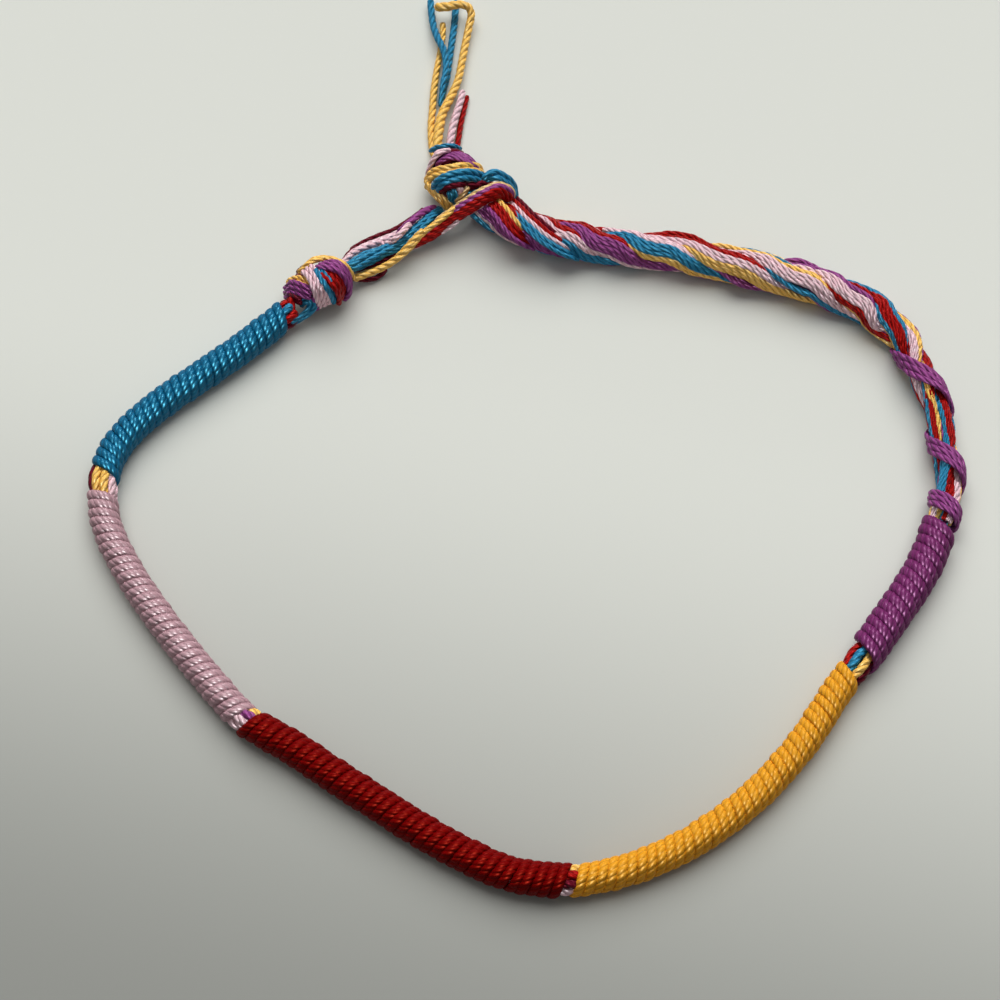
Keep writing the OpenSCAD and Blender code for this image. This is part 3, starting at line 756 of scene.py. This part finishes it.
TIE_KNOT_TURNS = [
    ([(-6, 19.4, 2.2), (-5, 19.7, 2.6), (-4, 20, 2.6), (-3.2, 20.2, 2.4), (-2.4, 20, 2)],
     ("teal", "maroon"), 0.7),
    ([(-7.8, 24.6, 1.2), (-7.3, 24.5, 1.9), (-6.6, 24.3, 2.4), (-6, 24.4, 2.2),
      (-5.5, 24.6, 1.4)], ("teal", "teal"), 0.4),
    ([(-8.1, 21.8, 1.3), (-7.9, 22.3, 2.3), (-7.5, 22.8, 3.1), (-7, 23.2, 3.3), (-6.4, 23.5, 3)],
     ("pink", "pink", "pink"), 0.44),
    ([(-7, 22.6, 2.4), (-6.7, 22.8, 3), (-6, 22.9, 3.3), (-5.2, 22.7, 3.3), (-4.5, 22.6, 2.9),
      (-4, 22.6, 2), (-3.9, 22.7, 1)], ("purple", "purple", "purple", "purple"), 0.46),
    ([(-8.2, 21.3, 1), (-8.1, 21.3, 1.8), (-7.8, 21.3, 2.6), (-7.2, 21.2, 3.3), (-6.4, 21.1, 3.7),
      (-5.6, 21.2, 3.8), (-4.8, 21.5, 3.5), (-4, 21.9, 2.8), (-3.6, 22.3, 1.8),
      (-3.5, 22.2, 0.9)], ("yellow", "yellow"), 0.5),
    ([(-7.4, 19.9, 2.3), (-7.2, 19.9, 3.3), (-6.7, 20, 3.9), (-6, 20.2, 4.1), (-5.2, 20.4, 4.1),
      (-4.5, 20.6, 3.8), (-3.8, 20.8, 3.2), (-3.3, 20.9, 2.6)], ("teal", "teal"), 0.52),
    ([(-7.3, 19.7, 2.2), (-6.7, 19.6, 3.3), (-6.2, 19.6, 3.7), (-5.5, 19.7, 3.7),
      (-4.8, 19.9, 3.5)], ("maroon",), 0.5),
    ([(-8.2, 21.7, 1.2), (-7.9, 20.5, 2), (-7.4, 19.7, 2.3), (-6.9, 19.2, 2.2), (-6.4, 18.9, 1.8),
      (-6.2, 18.8, 1.2)], ("yellow", "yellow"), 0.46),
    ([(-6.2, 19.6, 3.1), (-5.9, 19.2, 2.7), (-6, 19.1, 1.8)], ("teal", "teal"), 0.45),
    ([(-5.6, 19.6, 3.5), (-5.2, 19.4, 3.2), (-5.5, 19.3, 2.5)], ("pink",), 0.5),
    ([(-4.6, 19.8, 3.3), (-5.1, 19.2, 3), (-5.7, 18.9, 2.2)], ("cream",), 0.45),
    ([(-3.3, 20.1, 3.6), (-2.9, 20.4, 3.9), (-2.3, 20.55, 3.9), (-1.8, 20.5, 3.6),
      (-1.2, 20.4, 3), (-0.8, 20.2, 2.2), (-0.7, 19.6, 1.6), (-0.7, 18.9, 1.2),
      (-0.9, 18.2, 0.8)], ("teal", "teal"), 0.48),
]
END_KNOT_FILL_D, TIE_KNOT_FILL_D, FILL_STEP = 3.1, 3.3, 0.2
# Side-by-side threads: how much wider than its place one is, its thickness as a share of its
# width, and how the row curves down at its sides
ROW_WIDER, ROW_THICK, ROW_CURVE = 1.15, 0.9, 0.12


def side_by_side(points, dyes, width, middle=None):
    """Threads beside each other along the points, lying on the middle that they bend round."""
    path = even(points, ROPE_STEP)
    run = unit(np.gradient(path, axis=0))
    bend = unit(path - np.array(middle, float)) if middle else UP
    out = square_to(run, bend)
    side = np.cross(out, run)
    made = []
    for k, dye in enumerate(dyes):
        off = (k - (len(dyes) - 1) / 2) * width
        w = width * ROW_WIDER
        made.append(thread(path + off * side - ROW_CURVE * off**2 * out, out, w, w * ROW_THICK,
                           dye, start=k * 2.1))
    return made


def knot_threads(turns, fill, middle, fill_d):
    # The maroon fill is the knot's inside; its dark colour is partly painted shade in the gaps
    # between the turns
    made = [thread(even(fill, FILL_STEP), UP, fill_d, fill_d, "maroon")]
    for points, dyes, width in turns:
        made += side_by_side(points, dyes, width, middle)
    return made


class BRACELET_OT_knots(bpy.types.Operator):
    """Ties the end knot and the knot that closes the loop"""
    bl_idname = "bracelet.knots"
    bl_label = "Knots"

    def execute(self, context):
        end_knot = knot_threads(END_KNOT_TURNS, END_KNOT_FILL, END_KNOT_MIDDLE, END_KNOT_FILL_D)
        threads_object("thread_end_knot", end_knot, ["end_knot"])
        tie_knot = knot_threads(TIE_KNOT_TURNS, TIE_KNOT_FILL, TIE_KNOT_MIDDLE, TIE_KNOT_FILL_D)
        threads_object("thread_tie_knot", tie_knot, ["tie_knot"])
        return {"FINISHED"}


# Loose strands between the knots and in the tail, with points of x, y, z and the share of the
# diameter

# The teal strand runs on into the end knot
SHORT_TEAL = [(-15, 12.6, 1.8, 0.6), (-14.3, 13, 1.8, 0.95), (-13, 13.8, 1.7, 1.1),
              (-11.6, 14.6, 1.6, 1), (-10.2, 15.4, 1.5, 1), (-8.9, 16.7, 1.4, 1),
              (-7.6, 18.1, 1.3, 0.9), (-6.9, 18.9, 1.1, 0.8)]
SHORT_TEAL_THREADS, SHORT_TEAL_THREAD = 6, 0.46
# The arch as it is seen, up to half a millimetre off its solid
SHORT_ARCH = [(-14.5, 13.8, 0.5, 0.5), (-12.7, 14.5, 0.5, 0.5), (-10.8, 15.2, 0.55, 0.6),
              (-9.3, 15.8, 0.8, 0.75), (-7.8, 16.5, 1.3, 0.9), (-6.2, 17.5, 2.1, 1),
              (-4.5, 18.3, 2.9, 1.08), (-3.1, 19, 3.35, 1.1), (-2.2, 19.5, 3.2, 1.08),
              (-1.5, 19.6, 2.6, 1), (-1.3, 19.7, 1.7, 0.85), (-1.3, 19.6, 0.8, 0.65)]
# Threads of the arch with their slots, the degrees from slot to slot and one thread's width
ARCH_PLACES = (("C", 3.4), ("P", 2.6), ("R", 1.8), ("R", 1), ("R", 0.2), ("K", -0.7), ("T", -2.2),
               ("M", -3.6))
ARCH_SLOT, ARCH_THREAD = 40, 0.54
LOOSE_D = 0.64
LOOSE = {
    "short_yellow": ("yellow", [
        (-14.2, 12.1, 1.2, 1), (-13.1, 12.6, 1.2, 1), (-12, 13.1, 1.2, 1), (-10.8, 13.7, 1.5, 1),
        (-9.9, 14.4, 2, 1), (-9.1, 15.2, 2.4, 1), (-8.3, 16, 2.7, 0.9)]),
    "short_pink": ("pink", [
        (-14.5, 14.3, 1.5, 0.9), (-13.2, 15.1, 1.4, 1.1), (-11.8, 15.9, 1.1, 1.1),
        (-10.5, 16.7, 0.9, 1), (-9.4, 17.6, 0.8, 1), (-8.4, 18.4, 0.7, 1),
        (-7.9, 18.9, 0.6, 0.9)]),
    "short_maroon": ("maroon", [
        (-14.5, 15.1, 0.9, 0.6), (-13.4, 16, 0.7, 0.6), (-12.1, 16.8, 0.5, 0.6),
        (-10.9, 17.4, 0.4, 0.6), (-9.7, 18.3, 0.35, 0.6), (-8.9, 19, 0.3, 0.6),
        (-8.4, 19.5, 0.3, 0.6)]),
    "tail_yellow_right": ("yellow", [
        (-6.9, 24.1, 1.3, 1), (-7.3, 25, 0.9, 1.3), (-7.2, 27.1, 0.8, 1.4),
        (-6.9, 28.7, 0.8, 1.3), (-6.2, 30.4, 0.8, 1.2), (-5.6, 32.2, 0.7, 1.1),
        (-5.3, 34.1, 0.6, 1.1), (-5, 36, 0.6, 1.1), (-4.7, 37.6, 0.8, 1.1),
        (-4.5, 38.7, 1.1, 1.1), (-4.8, 39.3, 1.4, 1.1), (-5.6, 39.4, 1.6, 1.2),
        (-6.5, 39.2, 1.6, 1.3), (-7.3, 39.3, 1.4, 1.3), (-7.6, 39.5, 1.2, 1.1)]),
    "tail_yellow_left": ("yellow", [
        (-7.1, 24.3, 0.9, 0.8), (-7.7, 24.9, 0.4, 0.9), (-7.9, 27.3, 0.35, 1),
        (-7.8, 29.3, 0.35, 1), (-7.7, 31.3, 0.35, 1), (-7.5, 33.2, 0.35, 0.9),
        (-7.2, 35.2, 0.3, 0.9), (-7, 37, 0.4, 0.9), (-7, 38.3, 0.5, 0.9)]),
    "tail_teal_left": ("teal", [
        (-8.1, 40.7, 0.6, 1), (-8, 39.4, 0.6, 1), (-7.8, 37.8, 0.7, 1), (-7.4, 36.3, 1, 1),
        (-6.9, 35, 1.2, 1), (-6.7, 33.8, 1.2, 0.9), (-6.7, 32.6, 1.2, 0.9),
        (-6.9, 31.5, 1.1, 0.9), (-7, 30.5, 0.8, 0.8), (-7.1, 29.5, 0.5, 0.7)]),
    "tail_teal_right": ("teal", [
        (-5.9, 40.7, 0.4, 1), (-5.9, 39.6, 0.4, 1), (-6, 38, 0.4, 1), (-6.2, 36.2, 0.4, 1),
        (-6.4, 34.3, 0.4, 1), (-6.6, 32.6, 0.4, 1), (-6.9, 31.2, 0.4, 1),
        (-7.1, 29.8, 0.35, 0.9)]),
    "tail_pink": ("pink", [
        (-5.2, 31.2, 0.5, 0.9), (-5.4, 30, 0.7, 1), (-5.8, 28.4, 0.8, 1.1),
        (-6.1, 26.9, 0.8, 1.1), (-6.3, 25.1, 0.9, 1), (-6.2, 24.1, 1.2, 0.9)]),
    "tail_red": ("red", [
        (-4.8, 30.9, 0.25, 0.6), (-5, 29.8, 0.25, 0.7), (-5.3, 28.3, 0.25, 0.8),
        (-5.5, 26.8, 0.25, 0.8), (-5.7, 25.1, 0.3, 0.8), (-5.8, 24.1, 0.8, 0.7)]),
}
# Strands that have no solid of their own, or that carry one on into a knot: dyes, the width that
# one thread takes, and the route
BARE = {
    "short_pink_crossing": (("pink",), 0.5, [
        (-11.8, 15.5, 1.1), (-11.3, 15.2, 1.8), (-10.7, 15.3, 2.4), (-10.1, 15.8, 2.6),
        (-9.7, 16.6, 2.2), (-9.2, 17.6, 1.4)]),
    "short_purple": (("purple",), 0.55, [
        (-10.6, 16.3, 1.2), (-10, 16.7, 1.8), (-9.5, 17.1, 2), (-9, 17.6, 2), (-8.4, 18.2, 1.8),
        (-7.9, 18.7, 1.5), (-7.3, 19, 1.2)]),
    "short_yellow_over": (("yellow",), 0.44, [
        (-10.6, 13.7, 1.6), (-10, 14.1, 1.9), (-9.3, 14.7, 2.2), (-8.6, 15.5, 2.5),
        (-7.8, 16.2, 2.7), (-7, 16.8, 2.8), (-6.3, 17.4, 2.9), (-5.7, 18, 3)]),
    "short_maroon_under": (("maroon",), 0.4, [
        (-14.6, 12.2, 1.2), (-13.9, 12.3, 0.9), (-13.3, 12.4, 0.6), (-12.6, 12.6, 0.4),
        (-12, 12.9, 0.4), (-11.4, 13.4, 0.8)]),
    "short_pink_root": (("pink",), 0.5, [
        (-15.2, 13.1, 1.6), (-14.7, 13.9, 1.5), (-14.1, 14.6, 1.45)]),
    "short_maroon_root": (("maroon",), 0.38, [
        (-15.2, 13.3, 1.4), (-14.7, 14.4, 1.2), (-14.1, 15.3, 0.9)]),
    "short_arch_pink": (("pink",), 0.4, [
        (-8.9, 15.9, 0.6), (-8, 16.2, 0.9), (-7.2, 16.4, 1.3), (-6.2, 16.7, 1.9),
        (-5.4, 17.1, 2.4)]),
    "rope_start": (("purple", "red", "red", "yellow"), 0.4, [
        (-3, 19.1, 2.5), (-2.4, 18, 3.1), (-1.8, 17.1, 3.35), (-1.3, 16.3, 3.3),
        (-0.6, 15.6, 2.9), (0.1, 15.4, 2.1), (0.6, 15.6, 1.1)]),
    "rope_second": (("teal", "teal", "pink", "red", "maroon"), 0.36, [
        (-1.5, 19.6, 1.7), (-0.9, 18.7, 2.2), (-0.3, 17.7, 2.7), (0.2, 16.9, 3),
        (0.9, 16.1, 3.15), (1.7, 15.3, 3.1), (2.6, 14.8, 2.8), (3.6, 14.5, 2.2),
        (4.5, 14.6, 1.4)]),
    # Maroon and teal threads under the teal strand fill the gap to the yellow one: partly real
    # threads, partly painted shade in that gap
    "short_teal_under": (("maroon", "teal"), 0.45, [
        (-14.7, 13.4, 0.7), (-13.7, 13.7, 0.6), (-12.3, 14.2, 0.6), (-11.2, 14.8, 0.7),
        (-10.2, 15.6, 0.9)]),
}


class BRACELET_OT_loose(bpy.types.Operator):
    """Lays the short strands between the knots and the strands of the tail"""
    bl_idname = "bracelet.loose"
    bl_label = "Loose strands"

    def execute(self, context):
        for node, (dye, points) in LOOSE.items():
            path = even(points, LOOSE_STEP)
            d = LOOSE_D * path[:, 3]
            threads_object("thread_" + node, [thread(path[:, :3], UP, d, d, dye)], [node])
        for name, (dyes, width, points) in BARE.items():
            threads = side_by_side(points, dyes, width)
            threads_object("thread_" + name, threads, [])
        path = even(SHORT_TEAL, WRAP_STEP)
        r = SHORT_TEAL_D / 2 * path[:, 3]
        turn = distances(path[:, :3]) / 5
        threads = [("T", k + turn) for k in range(SHORT_TEAL_THREADS)]
        threads = strand_of_threads(path[:, :3], r, r, UP, SHORT_TEAL_THREAD,
                                    360 / SHORT_TEAL_THREADS, threads)
        threads_object("thread_short_teal", threads, ["short_teal"])
        path = even(SHORT_ARCH, WRAP_STEP)
        r = ARCH_D / 2 * path[:, 3]
        threads = strand_of_threads(path[:, :3], r, r, UP, ARCH_THREAD, ARCH_SLOT, ARCH_PLACES)
        threads_object("thread_short_arch", threads, ["short_arch"])
        return {"FINISHED"}


# Stage, in metres

FLOOR_HALF = 1.2
FLOOR_Z = -2e-5


def aimed(back):
    """Turn of a camera or lamp that looks back along the vector which leads to it."""
    return (-Vector(back)).to_track_quat("-Z", "Y").to_euler()


def lamp(name, kind, place, energy, size, lit):
    """A lamp aimed at the origin that lights only the objects given.

    The size is a sun's angle or a disc's width.
    """
    light = bpy.data.lights.new(name, kind)
    light.energy, light.color = energy, (1.0, 0.99, 0.975)
    if kind == "SUN":
        light.angle = size
    else:
        light.shape, light.size = "DISK", size
    holder = bpy.data.objects.new(name, light)
    bpy.context.scene.collection.objects.link(holder)
    holder.location = place
    holder.rotation_euler = aimed(place)
    receivers = bpy.data.collections.new(name)
    for thing in lit:
        receivers.objects.link(thing)
    holder.light_linking.receiver_collection = receivers
    return holder


class BRACELET_OT_stage(bpy.types.Operator):
    """Sets the camera, the pale floor and the soft light"""
    bl_idname = "bracelet.stage"
    bl_label = "Stage"

    def execute(self, context):
        scene = context.scene
        data = bpy.data.cameras.new("Camera")
        data.sensor_width = SENSOR
        data.lens = SENSOR * CAMERA_DISTANCE / PICTURE_WIDTH
        data.clip_start, data.clip_end = 0.01, 10
        camera = bpy.data.objects.new("Camera", data)
        scene.collection.objects.link(camera)
        away = Vector(TO_CAMERA) * CAMERA_DISTANCE
        camera.location = (Vector(CAMERA_TARGET) + away) * MM
        camera.rotation_euler = aimed(TO_CAMERA)
        scene.camera = camera

        mesh = bpy.data.meshes.new("floor")
        sheet = bmesh.new()
        bmesh.ops.create_grid(sheet, x_segments=1, y_segments=1, size=FLOOR_HALF)
        bmesh.ops.translate(sheet, verts=sheet.verts, vec=(0, 0, FLOOR_Z))
        sheet.to_mesh(mesh)
        sheet.free()
        mesh.materials.append(matte_card(scene.bracelet.floor_colour))
        floor = bpy.data.objects.new("floor", mesh)
        scene.collection.objects.link(floor)

        # Light from behind. The floor takes it from the whole of the window, so that its
        # shadows stay faint, and the threads from the bright middle
        threads = [thing for thing in scene.objects if thing.name.startswith("thread_")]
        lamp("Window", "SUN", (0.02, 0.5, 0.75), 2.7, math.radians(64), [floor])
        lamp("Window middle", "SUN", (0.02, 0.5, 0.54), 2.8, math.radians(12), threads)
        # A lamp before the bracelet that only glints in the threads
        lamp("Glint", "AREA", (0, -0.187, 0.463), 9, 0.12, threads).visible_diffuse = False
        # A pale room, brighter on the window's side
        scene.world = bpy.data.worlds.new("Room")
        tree = empty_tree(scene.world)
        place = add(tree, "TexCoord")
        parts = add(tree, "SeparateXYZ", Vector=place.outputs["Generated"])
        glow = add(tree, "Math", {"operation": "MULTIPLY_ADD"}, i0=parts.outputs["Y"], i1=0.2,
                   i2=0.32)
        sky = add(tree, "Background", Color=linear("#f7f5f3"), Strength=glow.outputs[0])
        add(tree, "OutputWorld", Surface=sky.outputs[0])
        scene.view_settings.view_transform = "Standard"
        return {"FINISHED"}


class BRACELET_PT_panel(bpy.types.Panel):
    bl_label = "Friendship Bracelet"
    bl_idname = "BRACELET_PT_panel"
    bl_space_type = "VIEW_3D"
    bl_region_type = "UI"
    bl_category = "Bracelet"

    def draw(self, context):
        settings = context.scene.bracelet
        for key in ("spacing", "rope_thread", "floor_colour"):
            self.layout.prop(settings, key)
        for operator in OPERATORS:
            self.layout.operator(operator.bl_idname)


OPERATORS = (BRACELET_OT_wraps, BRACELET_OT_core, BRACELET_OT_rope, BRACELET_OT_knots,
             BRACELET_OT_loose, BRACELET_OT_stage)
CLASSES = (BraceletSettings, *OPERATORS, BRACELET_PT_panel)


def register():
    for cls in CLASSES:
        bpy.utils.register_class(cls)
    bpy.types.Scene.bracelet = PointerProperty(type=BraceletSettings)


def unregister():
    del bpy.types.Scene.bracelet
    for cls in reversed(CLASSES):
        bpy.utils.unregister_class(cls)


def main():
    register()
    bpy.ops.bracelet.wraps()
    bpy.ops.bracelet.core()
    bpy.ops.bracelet.rope()
    bpy.ops.bracelet.knots()
    bpy.ops.bracelet.loose()
    bpy.ops.bracelet.stage()


if __name__ == "__main__":
    main()
